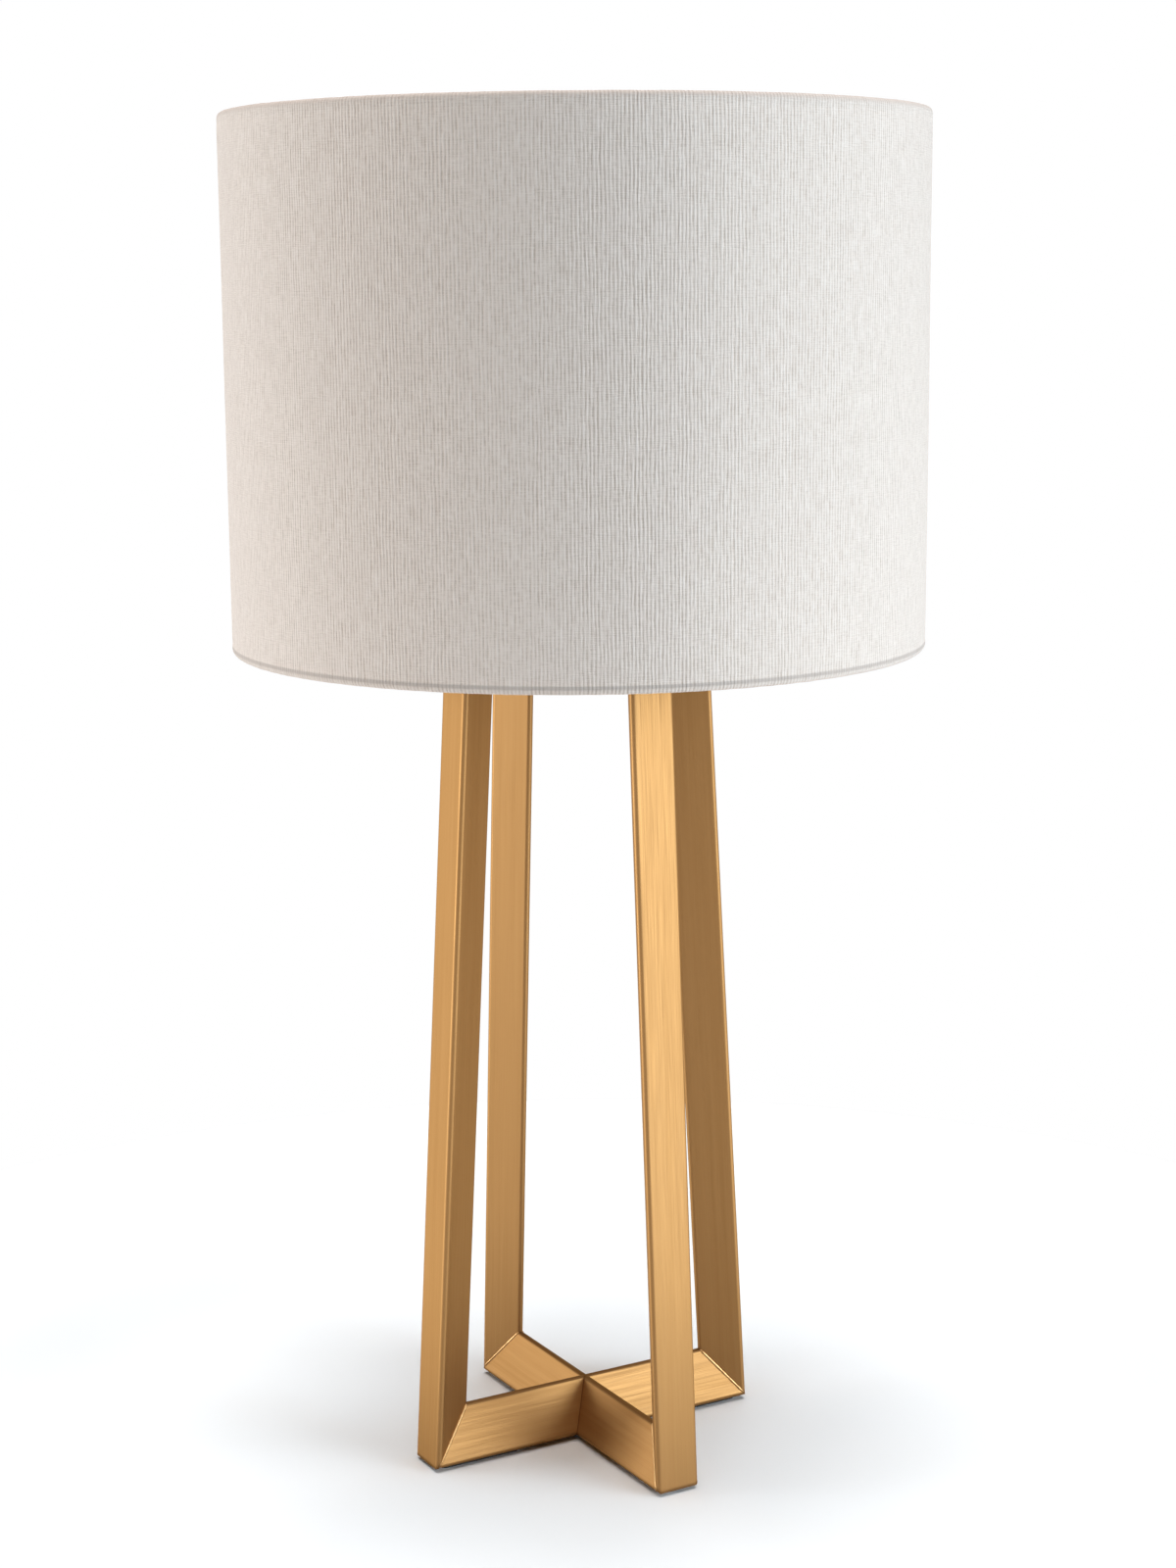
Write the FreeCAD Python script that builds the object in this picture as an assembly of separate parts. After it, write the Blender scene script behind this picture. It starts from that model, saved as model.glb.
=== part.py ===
import FreeCAD, Part
import math
import os

# Table lamp. Four leaning legs form two crossed frames of brushed brass tube, with mitred
# corners. A hub at the top of the frames carries an E27 lampholder, a bulb and a linen drum shade.
# Millimetres, +Z up. The origin is on the table, under the middle of the lamp.
# The right, back, left and front legs stand on +X, +Y, -X and -Y.

os.makedirs("parts", exist_ok=True)

# ---- Frame: sizes ----
foot_half_span = 95.4       # outer face of a leg from the lamp's axis, at the bars' underside
top_half_span = 69.8        # the same at the top of the frames
frame_top = 454.0           # top face of the frames above the table
tube_width = 24.0           # flat outer face of every tube, over its rounded edges
leg_depth = 22.0            # from a leg's flat outer face to its inner ridge
bar_depth = 28.0            # the same for the bars along the table and under the shade
tube_corner = 2.0           # radius along the three edges of a tube
tube_wall = 1.5
weld_gap = 0.05             # between a coped end and the round face that it is welded to

pad_thickness = 2.0
pad_length = 46.0
pad_width = 16.0
pad_inset = 5.0             # from the leg's outer face to the pad's end
pad_corner = 3.0

# ---- Cord inlet in the back leg: sizes ----
inlet_height = 26.0         # its centre above the table
inlet_hole_radius = 5.0     # hole in the leg
inlet_bore_radius = 3.4     # way through the grommet
grommet_flange_radius = 7.5
grommet_flange_thickness = 1.6
grommet_tail = 2.0          # how far it reaches in past the tube's wall
grommet_clearance = 0.05
cutting_overrun = 1.0       # of a cutting form past the face that it cuts

# ---- Hub and threaded tube at the top of the frames: sizes ----
hub_radius = 18.0
hub_top_wall = 10.0
hub_cavity_radius = 11.0
cord_passage_radius = 4.0
nipple_radius = 5.0         # M10 x 1 threaded tube
nipple_bore_radius = 3.75
thread_clearance = 0.05
lock_nut_flats = 14.0
lock_nut_height = 4.0
nipple_tail = 1.5           # thread that stands out below the lock nut
hub_plug_flange_radius = 13.5
hub_plug_flange_thickness = 1.5
hub_plug_depth = 5.0
collar_height = 6.0
collar_radius = 13.0
collar_waist_radius = 9.0

# ---- Lampholder: sizes ----
cap_radius = 20.5
cap_foot_radius = 11.0
cap_height = 30.0
cap_dome_height = 14.0
cap_wall = 1.2
cap_boss_radius = 8.5
cap_boss_height = 10.0
nipple_end_gap = 1.0        # from the threaded tube's end to the top of the boss
switch_block_length = 20.0
switch_block_width = 16.0
insert_height = 12.0        # ceramic insert over the switch block
insert_radius = 17.0
insert_above_foot = 24.0    # underside of the insert above the cap's foot
insert_chamfer = 1.0
skirt_thread_radius = 19.75
skirt_root_radius = 19.2
skirt_inner_radius = 17.3
skirt_height = 32.0         # above the cap
skirt_spigot = 4.0          # part of the skirt inside the cap
skirt_lip_thickness = 2.5
skirt_mouth_radius = 15.2
skirt_fit = 0.1
shade_ring_pitch = 2.5      # thread on the skirt
screw_shell_inner_radius = 13.4
screw_shell_wall = 0.5
screw_shell_height = 22.0
screw_shell_flange_radius = 16.2
contact_radius = 4.0
contact_thickness = 0.6
contact_button_radius = 2.5
contact_button_height = 0.4
terminal_screw_radius = 2.2
terminal_screw_head = 1.6
terminal_slot_depth = 0.8
terminal_slot_width = 0.6

# ---- Push-through switch bar: sizes ----
push_bar_radius = 2.3
push_bar_clearance = 0.3
push_bar_travel = 6.0
push_bar_height = 18.0      # centre line above the cap's foot
push_button_radius = 4.0
push_button_length = 6.0
push_button_stop_gap = 0.8  # from a button pushed home to the cap
push_button_rounding = 1.3

# ---- Rings that clamp the shade: sizes ----
seat_ring_height = 5.0
clamp_ring_height = 5.0
shade_ring_radius = 28.5
shade_ring_bore_clearance = 0.3
seat_ring_above_cap = 2.0
grip_notch_radius = 2.0
grip_notch_count = 18
washer_thickness = 0.8
washer_radius = 25.0
face_gap = 0.1              # between flat faces that turn or lift on each other

# ---- Shade: sizes ----
shade_diameter = 350.0
shade_height = 264.0
fitter_drop = 73.1          # from the fitter ring down to the shade's lower edge
linen_thickness = 0.8
glue_gap = 0.1
liner_thickness = 0.6
shade_wire_radius = 1.5     # top and bottom rings
hem_height = 10.0           # linen turned in over each ring
hem_notch_width = 9.0       # cut in the lower hem round each arm
seam_angle = 60.0           # overlap of the linen, at the back
seam_width = 10.0
fitter_bore_radius = 21.0
fitter_ring_radius = 31.0
fitter_ring_thickness = 1.5
arm_radius = 2.0
arm_count = 3
arm_start_angle = 30.0
arm_level_run = 14.0        # level stretch next to the fitter ring
arm_foot_run = 10.0         # level stretch next to the bottom ring
arm_bend_radius = 14.0

# ---- Bulb: sizes ----
bulb_length = 105.0
globe_radius = 30.0
glass_wall = 0.8
glass_neck_radius = 14.5
glass_root_radius = 12.4
bulb_cap_radius = 13.1
bulb_cap_root_radius = 12.3
bulb_cap_rim_radius = 13.5
bulb_thread_pitch = 3.629
bulb_thread_turns = 5
bulb_cap_wall = 0.3
insulator_height = 4.6
insulator_radius = 11.4
tip_radius = 4.8
tip_height = 1.6
tip_gap = 0.3               # over the lampholder's contact
rim_height = 3.0
stem_radius = 4.5
stem_disc_radius = 9.0
stem_disc_thickness = 1.2
filament_radius = 1.2
filament_length = 32.0
filament_ring_radius = 7.0
filament_count = 4
filament_start_angle = 45.0
post_radius = 1.2

# ---- Levels and sizes that follow from the ones above ----
frame_bottom = pad_thickness
leg_slope = (foot_half_span - top_half_span) / (frame_top - frame_bottom)
leg_stretch = math.sqrt(1 + leg_slope ** 2)     # level distance per distance square to the leg
hub_bottom = frame_top - bar_depth
hub_ceiling = frame_top - hub_top_wall
nipple_bottom = hub_ceiling - lock_nut_height - nipple_tail
cap_foot = frame_top + collar_height
cap_top = cap_foot + cap_height
boss_top = cap_foot + cap_boss_height
nipple_top = boss_top - nipple_end_gap
insert_bottom = cap_foot + insert_above_foot
insert_top = insert_bottom + insert_height
skirt_bottom = cap_top - skirt_spigot
skirt_top = cap_top + skirt_height
push_bar_level = cap_foot + push_bar_height
seat_ring_bottom = cap_top + seat_ring_above_cap
fitter_bottom = seat_ring_bottom + seat_ring_height + face_gap
fitter_top = fitter_bottom + fitter_ring_thickness
washer_bottom = fitter_top + face_gap
clamp_ring_bottom = washer_bottom + washer_thickness + face_gap
shade_radius = shade_diameter / 2
shade_bottom = fitter_bottom - fitter_drop
shade_top = shade_bottom + shade_height
liner_radius = shade_radius - linen_thickness - glue_gap
liner_inner_radius = liner_radius - liner_thickness
shade_wire_ring_radius = liner_inner_radius - glue_gap - shade_wire_radius
edge_to_wire = linen_thickness + glue_gap + shade_wire_radius
hem_outer_radius = shade_wire_ring_radius - shade_wire_radius - glue_gap
hem_inner_radius = hem_outer_radius - linen_thickness
contact_top = insert_top + contact_thickness + contact_button_height
bulb_bottom = contact_top + tip_gap
bulb_top = bulb_bottom + bulb_length
insulator_bottom = bulb_bottom + tip_height
bulb_cap_bottom = insulator_bottom + insulator_height
bulb_cap_thread_top = bulb_cap_bottom + bulb_thread_pitch * bulb_thread_turns
bulb_cap_top = bulb_cap_thread_top + rim_height

origin = FreeCAD.Vector(0, 0, 0)
up = FreeCAD.Vector(0, 0, 1)
pieces = {}


# ---- Shape helpers ----
def at(radius, height):
    """A point of a turned outline: distance from the axis, and height."""
    return FreeCAD.Vector(radius, 0, height)


def line(start, end):
    return Part.LineSegment(start, end).toShape()


def arc(start, through, end):
    return Part.Arc(start, through, end).toShape()


def turned_edges(edges):
    """The solid that a closed outline sweeps in one turn about the Z axis."""
    return Part.Face(Part.Wire(edges)).revolve(origin, up, 360)


def turned(outline):
    """The same for an outline of straight lines between (radius, height) points."""
    corners = [at(radius, height) for radius, height in outline]
    following = corners[1:] + corners[:1]
    return turned_edges([line(start, end) for start, end in zip(corners, following)])


def turned_sleeve(inner_radius, outer_radius, bottom, top):
    return turned([(inner_radius, bottom), (outer_radius, bottom), (outer_radius, top), (inner_radius, top)])


def cylinder(radius, start, direction, length):
    return Part.makeCylinder(radius, length, start, direction)


def torus(ring_radius, wire_radius, height):
    return Part.makeTorus(ring_radius, wire_radius, FreeCAD.Vector(0, 0, height), up)


def spun(shape, angle):
    """A copy of the shape turned about the lamp's axis by an angle in degrees."""
    return shape.rotated(origin, up, angle)


def rounded_plate(length, width, corner, thickness, low_end, bottom):
    """A plate along +X with rounded upright corners, from x = low_end."""
    block = Part.makeBox(length, width, thickness, FreeCAD.Vector(low_end, -width / 2, bottom))
    uprights = [edge for edge in block.Edges if abs(edge.tangentAt(edge.FirstParameter).z) > 0.5]
    return block.makeFillet(corner, uprights)


def rounded_triangle(width, depth, corner, middle, inward, sideways):
    """The face of a tube's section. Its flat side is centred on the point middle and runs along
    the direction sideways. Its ridge lies at the distance depth along the direction inward."""
    centres = [
        middle - sideways * (width / 2 - corner) + inward * corner,
        middle + sideways * (width / 2 - corner) + inward * corner,
        middle + inward * (depth - corner),
    ]
    heart = (centres[0] + centres[1] + centres[2]) * (1 / 3)
    sides = []
    for index in range(3):
        start, end = centres[index], centres[(index + 1) % 3]
        along = (end - start).normalize()
        outward = (start - heart) - along * (start - heart).dot(along)
        outward = outward.normalize() * corner
        sides.append((start + outward, end + outward, outward))
    edges = []
    for index in range(3):
        start, end, outward = sides[index]
        next_start, next_end, next_outward = sides[(index + 1) % 3]
        bisector = (outward + next_outward).normalize() * corner
        edges.append(line(start, end))
        edges.append(arc(end, centres[(index + 1) % 3] + bisector, next_start))
    return Part.Face(Part.Wire(edges))


def inner_section(width, depth, wall):
    """Width, depth and distance from the flat side for the hollow of a tube of even wall.
    The three corner centres stay where they are, so the slopes' walls are as thick as the flat's."""
    return width - 2 * wall, depth - 2 * wall, wall


def prism(width, depth, start, direction, length, inward):
    """A solid bar of the tube's section, and the bar that fills its hollow."""
    sideways = direction.cross(inward)
    sweep = direction * length
    outer = rounded_triangle(width, depth, tube_corner, start, inward, sideways).extrude(sweep)
    hollow_width, hollow_depth, offset = inner_section(width, depth, tube_wall)
    hollow_corner = tube_corner - tube_wall
    middle = start + inward * offset
    hollow = rounded_triangle(hollow_width, hollow_depth, hollow_corner, middle, inward, sideways)
    return outer, hollow.extrude(sweep)


def beyond(point, normal):
    """A large block that fills the side of a plane that its normal points to."""
    reach = 2 * (frame_top + foot_half_span)
    block = Part.makeBox(reach, reach, reach, FreeCAD.Vector(-reach / 2, -reach / 2, 0))
    turn = FreeCAD.Rotation(up, normal)
    block.Placement = FreeCAD.Placement(point, turn)
    return block


# ---- Frame ----
def outer_face_at(height):
    """Distance of a leg's outer face from the lamp's axis."""
    return foot_half_span - leg_slope * (height - frame_bottom)


def ridge_at(height):
    """Distance of a leg's inner ridge from the lamp's axis."""
    return outer_face_at(height) - leg_depth * leg_stretch


foot_corner = at(foot_half_span, frame_bottom)
foot_mitre_inner = at(ridge_at(frame_bottom + bar_depth), frame_bottom + bar_depth)
top_corner = at(top_half_span, frame_top)
top_mitre_inner = at(ridge_at(hub_bottom), hub_bottom)


def mitre_normal(corner, inner):
    """Square to the mitre in the plane of the frame, pointing towards the leg's side."""
    along = inner - corner
    return FreeCAD.Vector(abs(along.z), 0, abs(along.x) * (1 if inner.z > corner.z else -1)).normalize()


foot_mitre_normal = mitre_normal(foot_corner, foot_mitre_inner)
top_mitre_normal = mitre_normal(top_corner, top_mitre_inner)


def right_leg():
    """The leg on +X, mitred at both ends: its solid form and its hollow."""
    direction = FreeCAD.Vector(-leg_slope, 0, 1).normalize()
    inward = FreeCAD.Vector(-1, 0, -leg_slope).normalize()
    overrun = bar_depth
    start = foot_corner - direction * overrun
    length = (frame_top - frame_bottom) * leg_stretch + 2 * overrun
    ends = [beyond(foot_corner, foot_mitre_normal * -1), beyond(top_corner, top_mitre_normal * -1)]
    return [bar.cut(ends) for bar in prism(tube_width, leg_depth, start, direction, length, inward)]


def inlet_line(depth):
    """A point on the cord inlet's axis, at a distance inside the outer face of the leg on +X."""
    outward = FreeCAD.Vector(1, 0, leg_slope).normalize()
    return at(outer_face_at(inlet_height), inlet_height) - outward * depth, outward


def base_bar_halves():
    """The half of the base bar under the leg on +X, to the lamp's axis."""
    direction = FreeCAD.Vector(1, 0, 0)
    start = FreeCAD.Vector(0, 0, frame_bottom)
    bars = prism(tube_width, bar_depth, start, direction, foot_half_span + bar_depth, up)
    return [bar.cut(beyond(foot_corner, foot_mitre_normal)) for bar in bars]


def build_legs():
    solid, hollow = right_leg()
    tube = solid.cut(hollow)
    for name, angle in (("leg_right", 0), ("leg_left", 180), ("leg_front", 270)):
        pieces[name] = spun(tube, angle)
    start, outward = inlet_line(grommet_tail + 2 * tube_wall)
    hole = cylinder(inlet_hole_radius, start, outward, grommet_tail + 4 * tube_wall)
    pieces["leg_back"] = spun(tube.cut(hole), 90)


def build_base_bars():
    """One bar runs through from left to right. The front and back bars are coped to its slopes."""
    solid, hollow = base_bar_halves()
    through_solid = solid.fuse(spun(solid, 180)).removeSplitter()
    through_hollow = hollow.fuse(spun(hollow, 180)).removeSplitter()
    pieces["base_bar_through"] = through_solid.cut(through_hollow)
    coped = solid.cut(hollow).cut(spun(through_solid, 90))
    pieces["base_bar_back"] = spun(coped, 90)
    pieces["base_bar_front"] = spun(coped, 270)


def build_top_bars():
    """Four short bars from the tops of the legs to the hub, flat side up."""
    direction = FreeCAD.Vector(1, 0, 0)
    start = FreeCAD.Vector(0, 0, frame_top)
    solid, hollow = prism(tube_width, bar_depth, start, direction, top_half_span + bar_depth, up * -1)
    mitre = beyond(top_corner, top_mitre_normal)
    hub_space = cylinder(hub_radius + weld_gap, at(0, hub_bottom - bar_depth), up, 3 * bar_depth)
    tube = solid.cut(hollow).cut([mitre, hub_space])
    for name, angle in (("right", 0), ("back", 90), ("left", 180), ("front", 270)):
        pieces["top_bar_" + name] = spun(tube, angle)


def build_pads():
    low_end = foot_half_span - pad_inset - pad_length
    pad = rounded_plate(pad_length, pad_width, pad_corner, pad_thickness, low_end, 0)
    for name, angle in (("right", 0), ("back", 90), ("left", 180), ("front", 270)):
        pieces["foot_pad_" + name] = spun(pad, angle)


def build_grommet():
    start, outward = inlet_line(tube_wall + grommet_tail)
    face, outward = inlet_line(0)
    body_length = tube_wall + grommet_tail + grommet_flange_thickness
    body = cylinder(inlet_hole_radius - grommet_clearance, start, outward, body_length)
    flange = cylinder(grommet_flange_radius, face, outward, grommet_flange_thickness)
    bore_start = start - outward * cutting_overrun
    bore = cylinder(inlet_bore_radius, bore_start, outward, body_length + 2 * cutting_overrun)
    pieces["cord_inlet_grommet"] = spun(body.fuse(flange).removeSplitter().cut(bore), 90)


# ---- Hub ----
def hexagon(flats, bottom, height):
    across_corners = flats / math.cos(math.radians(30))
    corners = []
    for index in range(6):
        angle = math.radians(60 * index)
        radius = across_corners / 2
        corners.append(FreeCAD.Vector(radius * math.cos(angle), radius * math.sin(angle), bottom))
    return Part.Face(Part.makePolygon(corners + corners[:1])).extrude(up * height)


def build_hub():
    hub = cylinder(hub_radius, at(0, hub_bottom), up, bar_depth)
    cavity = cylinder(hub_cavity_radius, at(0, hub_bottom), up, bar_depth - hub_top_wall)
    thread = cylinder(nipple_radius + thread_clearance, at(0, hub_ceiling), up, hub_top_wall)
    passage_level = (hub_bottom + hub_ceiling) / 2
    passage = cylinder(cord_passage_radius, at(0, passage_level), FreeCAD.Vector(0, 1, 0), 2 * hub_radius)
    pieces["top_hub"] = hub.cut([cavity, thread, passage])
    pieces["threaded_tube"] = turned_sleeve(nipple_bore_radius, nipple_radius, nipple_bottom, nipple_top)
    nut_bore = cylinder(nipple_radius + thread_clearance, at(0, hub_bottom), up, bar_depth)
    nut = hexagon(lock_nut_flats, hub_ceiling - lock_nut_height, lock_nut_height)
    pieces["lock_nut"] = nut.cut(nut_bore)
    plug_radius = hub_cavity_radius - thread_clearance
    pieces["hub_plug"] = turned([
        (0, hub_bottom - hub_plug_flange_thickness),
        (hub_plug_flange_radius - hub_plug_flange_thickness, hub_bottom - hub_plug_flange_thickness),
        (hub_plug_flange_radius, hub_bottom),
        (plug_radius, hub_bottom),
        (plug_radius, hub_bottom + hub_plug_depth),
        (0, hub_bottom + hub_plug_depth),
    ])
    bore_radius = nipple_radius + thread_clearance
    waist_level = frame_top + collar_height / 2
    waist = arc(at(collar_radius, frame_top), at(collar_waist_radius, waist_level), at(cap_foot_radius, cap_foot))
    pieces["neck_collar"] = turned_edges([
        line(at(bore_radius, frame_top), at(collar_radius, frame_top)),
        waist,
        line(at(cap_foot_radius, cap_foot), at(bore_radius, cap_foot)),
        line(at(bore_radius, cap_foot), at(bore_radius, frame_top)),
    ])


# ---- Lampholder ----
def build_cap():
    """Domed cap with a threaded boss inside and a hole each side for the switch bar."""
    bore_radius = nipple_radius + thread_clearance
    dome_top = cap_foot + cap_dome_height
    bulge = math.cos(math.radians(45))
    spread = cap_radius - cap_foot_radius
    outer_via = at(cap_foot_radius + spread * bulge, dome_top - cap_dome_height * bulge)
    inner_foot = cap_foot_radius - cap_wall
    inner_floor = cap_foot + cap_wall
    inner_rise = dome_top - inner_floor
    inner_via = at(inner_foot + spread * bulge, dome_top - inner_rise * bulge)
    inner_radius = cap_radius - cap_wall
    shell = turned_edges([
        line(at(bore_radius, cap_foot), at(cap_foot_radius, cap_foot)),
        arc(at(cap_foot_radius, cap_foot), outer_via, at(cap_radius, dome_top)),
        line(at(cap_radius, dome_top), at(cap_radius, cap_top)),
        line(at(cap_radius, cap_top), at(inner_radius, cap_top)),
        line(at(inner_radius, cap_top), at(inner_radius, dome_top)),
        arc(at(inner_radius, dome_top), inner_via, at(inner_foot, inner_floor)),
        line(at(inner_foot, inner_floor), at(cap_boss_radius, inner_floor)),
        line(at(cap_boss_radius, inner_floor), at(cap_boss_radius, boss_top)),
        line(at(cap_boss_radius, boss_top), at(bore_radius, boss_top)),
        line(at(bore_radius, boss_top), at(bore_radius, cap_foot)),
    ])
    pieces["holder_cap"] = shell.cut(push_bar_hole(cap_radius))


def push_bar_hole(half_length):
    start = FreeCAD.Vector(0, -half_length, push_bar_level)
    return cylinder(push_bar_radius + push_bar_clearance, start, FreeCAD.Vector(0, 1, 0), 2 * half_length)


def build_switch():
    """The switch block stands on the cap's boss. The bar lies through it, pushed to the front."""
    low = FreeCAD.Vector(-switch_block_length / 2, -switch_block_width / 2, boss_top)
    block = Part.makeBox(switch_block_length, switch_block_width, insert_bottom - boss_top, low)
    pieces["switch_block"] = block.cut(push_bar_hole(switch_block_width))
    along = FreeCAD.Vector(0, 1, 0)
    button_start = cap_radius + push_button_stop_gap + push_bar_travel / 2
    middle = FreeCAD.Vector(0, -push_bar_travel / 2, push_bar_level)
    pieces["switch_push_bar"] = cylinder(push_bar_radius, middle - along * button_start, along, 2 * button_start)
    for name, side in (("front", -1), ("back", 1)):
        button = cylinder(push_button_radius, middle + along * side * button_start, along * side, push_button_length)
        past_middle = button_start + push_button_length / 2
        far_edges = [edge for edge in button.Edges if abs(edge.CenterOfMass.y - middle.y) > past_middle]
        rims = [edge for edge in far_edges if edge.Closed]
        pieces["switch_button_" + name] = button.makeFillet(push_button_rounding, rims)
    screws = []
    for side in (-1, 1):
        head_start = FreeCAD.Vector(side * switch_block_length / 2, 0, push_bar_level)
        outward = FreeCAD.Vector(side, 0, 0)
        head = cylinder(terminal_screw_radius, head_start, outward, terminal_screw_head)
        slot_corner = FreeCAD.Vector(-terminal_slot_depth / 2, -terminal_slot_width / 2, -terminal_screw_radius)
        slot = Part.makeBox(terminal_slot_depth, terminal_slot_width, 2 * terminal_screw_radius, slot_corner)
        slot.translate(head_start + outward * (terminal_screw_head - terminal_slot_depth / 2))
        screws.append(head.cut(slot))
    pieces["terminal_screws"] = Part.makeCompound(screws)


def build_insert():
    """Ceramic insert with the contact in its middle and the bulb's screw shell on top."""
    pieces["ceramic_insert"] = turned([
        (0, insert_bottom), (insert_radius - insert_chamfer, insert_bottom),
        (insert_radius, insert_bottom + insert_chamfer),
        (insert_radius, insert_top), (0, insert_top),
    ])
    button_bottom = insert_top + contact_thickness
    pieces["centre_contact"] = turned([
        (0, insert_top), (contact_radius, insert_top), (contact_radius, button_bottom),
        (contact_button_radius, button_bottom), (contact_button_radius, contact_top), (0, contact_top),
    ])
    outer_radius = screw_shell_inner_radius + screw_shell_wall
    flange_top = insert_top + screw_shell_wall
    shell_top = insert_top + screw_shell_height
    pieces["screw_shell"] = turned([
        (screw_shell_inner_radius, insert_top), (screw_shell_flange_radius, insert_top),
        (screw_shell_flange_radius, flange_top), (outer_radius, flange_top),
        (outer_radius, shell_top), (screw_shell_inner_radius, shell_top),
    ])


def build_skirt():
    """Threaded skirt on the cap, drawn in to a lip at its mouth. Its thread is drawn as rings."""
    outline = [
        (skirt_inner_radius, skirt_bottom), (skirt_root_radius - skirt_fit, skirt_bottom),
        (skirt_root_radius - skirt_fit, cap_top), (skirt_root_radius, cap_top),
    ]
    turns = int((skirt_height - shade_ring_pitch) / shade_ring_pitch)
    for turn in range(turns):
        level = cap_top + shade_ring_pitch * (turn + 0.5)
        outline += [
            (skirt_root_radius, level),
            (skirt_thread_radius, level + shade_ring_pitch / 4),
            (skirt_thread_radius, level + shade_ring_pitch / 2),
            (skirt_root_radius, level + shade_ring_pitch * 3 / 4),
        ]
    outline += [
        (skirt_root_radius, skirt_top), (skirt_mouth_radius, skirt_top),
        (skirt_mouth_radius, skirt_top - skirt_lip_thickness),
        (skirt_inner_radius, skirt_top - skirt_lip_thickness),
    ]
    pieces["holder_skirt"] = turned(outline)


def shade_ring(bottom, height, bore_radius):
    """A ring for the skirt's thread, with finger notches round its rim."""
    ring = turned_sleeve(bore_radius, shade_ring_radius, bottom, bottom + height)
    notch = cylinder(grip_notch_radius, at(shade_ring_radius + grip_notch_radius / 2, bottom), up, height)
    return ring.cut([spun(notch, index * 360 / grip_notch_count) for index in range(grip_notch_count)])


def build_shade_rings():
    seat_bore = skirt_thread_radius + thread_clearance
    clamp_bore = skirt_thread_radius + shade_ring_bore_clearance
    pieces["seat_ring"] = shade_ring(seat_ring_bottom, seat_ring_height, seat_bore)
    pieces["clamp_ring"] = shade_ring(clamp_ring_bottom, clamp_ring_height, clamp_bore)
    washer_top = washer_bottom + washer_thickness
    pieces["clamp_washer"] = turned_sleeve(clamp_bore, washer_radius, washer_bottom, washer_top)


# ---- Shade ----
def bent_wire(corners, bend_radius, wire_radius):
    """A round wire along straight runs joined by tangent arcs, as one solid."""
    edges = []
    last = corners[0]
    for before, corner, after in zip(corners, corners[1:], corners[2:]):
        back = (before - corner).normalize()
        ahead = (after - corner).normalize()
        half_angle = back.getAngle(ahead) / 2
        set_back = bend_radius / math.tan(half_angle)
        bisector = (back + ahead).normalize()
        middle = corner + bisector * (bend_radius / math.sin(half_angle) - bend_radius)
        edges.append(line(last, corner + back * set_back))
        edges.append(arc(corner + back * set_back, middle, corner + ahead * set_back))
        last = corner + ahead * set_back
    edges.append(line(last, corners[-1]))
    path = Part.Wire(edges)
    section = Part.Wire(Part.makeCircle(wire_radius, corners[0], (corners[1] - corners[0]).normalize()))
    return path.makePipeShell([section], True, False)


def build_fitter():
    """Flat ring round the lampholder, and the arms that carry the shade's bottom ring."""
    pieces["fitter_ring"] = turned_sleeve(fitter_bore_radius, fitter_ring_radius, fitter_bottom, fitter_top)
    level = fitter_bottom + fitter_ring_thickness / 2
    wire_level = shade_bottom + edge_to_wire
    foot_level = wire_level + shade_wire_radius + arm_radius / 2
    arm = bent_wire([
        at(fitter_bore_radius, level),
        at(fitter_ring_radius + arm_level_run, level),
        at(hem_inner_radius - arm_foot_run, foot_level),
        at(shade_wire_ring_radius, foot_level),
    ], arm_bend_radius, arm_radius)
    ring_space = cylinder(fitter_ring_radius + weld_gap, at(0, level - 2 * arm_radius), up, 4 * arm_radius)
    wire_space = torus(shade_wire_ring_radius, shade_wire_radius + weld_gap, wire_level)
    arm = arm.cut([ring_space, wire_space])
    angles = [arm_start_angle + index * 360 / arm_count for index in range(arm_count)]
    pieces["fitter_arms"] = Part.makeCompound([spun(arm, angle) for angle in angles])
    return angles


def build_shade(arm_angles):
    """Wire rings at both edges, a plastic liner, and linen turned in over the rings."""
    pieces["shade_bottom_ring"] = torus(shade_wire_ring_radius, shade_wire_radius, shade_bottom + edge_to_wire)
    pieces["shade_top_ring"] = torus(shade_wire_ring_radius, shade_wire_radius, shade_top - edge_to_wire)
    liner_bottom = shade_bottom + linen_thickness + glue_gap
    liner_top = shade_top - linen_thickness - glue_gap
    pieces["shade_liner"] = turned_sleeve(liner_inner_radius, liner_radius, liner_bottom, liner_top)
    cover = turned([
        (shade_radius, shade_bottom), (shade_radius, shade_top),
        (hem_inner_radius, shade_top), (hem_inner_radius, shade_top - hem_height),
        (hem_outer_radius, shade_top - hem_height), (hem_outer_radius, shade_top - linen_thickness),
        (shade_radius - linen_thickness, shade_top - linen_thickness),
        (shade_radius - linen_thickness, shade_bottom + linen_thickness),
        (hem_outer_radius, shade_bottom + linen_thickness), (hem_outer_radius, shade_bottom + hem_height),
        (hem_inner_radius, shade_bottom + hem_height), (hem_inner_radius, shade_bottom),
    ])
    notch_length = shade_radius - linen_thickness - hem_inner_radius
    notch_start = hem_inner_radius - linen_thickness
    notch_level = shade_bottom + linen_thickness
    notch_corner = FreeCAD.Vector(notch_start, -hem_notch_width / 2, notch_level)
    notch = Part.makeBox(notch_length, hem_notch_width, hem_height, notch_corner)
    cover = cover.cut([spun(notch, angle) for angle in arm_angles])
    overlap_band = turned_sleeve(shade_radius, shade_radius + linen_thickness / 2, shade_bottom, shade_top)
    overlap_cut = FreeCAD.Vector(shade_radius / 2, -seam_width / 2, shade_bottom)
    overlap_window = Part.makeBox(shade_radius, seam_width, shade_height, overlap_cut)
    overlap = overlap_band.common(overlap_window)
    pieces["linen_cover"] = cover.fuse(spun(overlap, seam_angle)).removeSplitter()


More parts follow.
